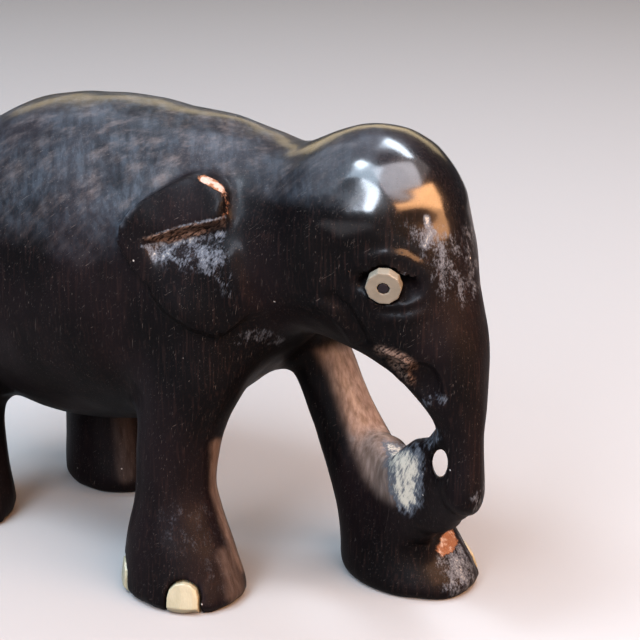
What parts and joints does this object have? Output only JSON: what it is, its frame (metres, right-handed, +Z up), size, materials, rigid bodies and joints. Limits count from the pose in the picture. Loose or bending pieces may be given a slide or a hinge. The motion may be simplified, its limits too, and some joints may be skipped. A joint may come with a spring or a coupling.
{
  "type": "carved wooden elephant sculpture",
  "caption": "Small dark wood elephant carved in one block, walking with its trunk down, with inlaid bone eyes and toenails.",
  "frame": {"origin": "on the ground, under the middle of the figure's bounding box", "axes": "+X towards the head, +Y the elephant's left side, +Z up"},
  "size_m": [0.104, 0.0432, 0.0707],
  "materials": {
    "ebony": "polished near-black ebony, dusty on the back",
    "bone": null,
    "pupil_horn": null
  },
  "bodies": {
    "root": {"elephant_body": "ebony", "eye_right": "bone", "eye_left": "bone", "pupil_right": "pupil_horn", "pupil_left": "pupil_horn", "toenail_right_fore_front": "bone", "toenail_right_fore_rear": "bone", "toenail_right_hind_front": "bone", "toenail_right_hind_rear": "bone", "toenail_left_fore_front": "bone", "toenail_left_fore_rear": "bone", "toenail_left_hind_front": "bone", "toenail_left_hind_rear": "bone"}
  },
  "joints": []
}
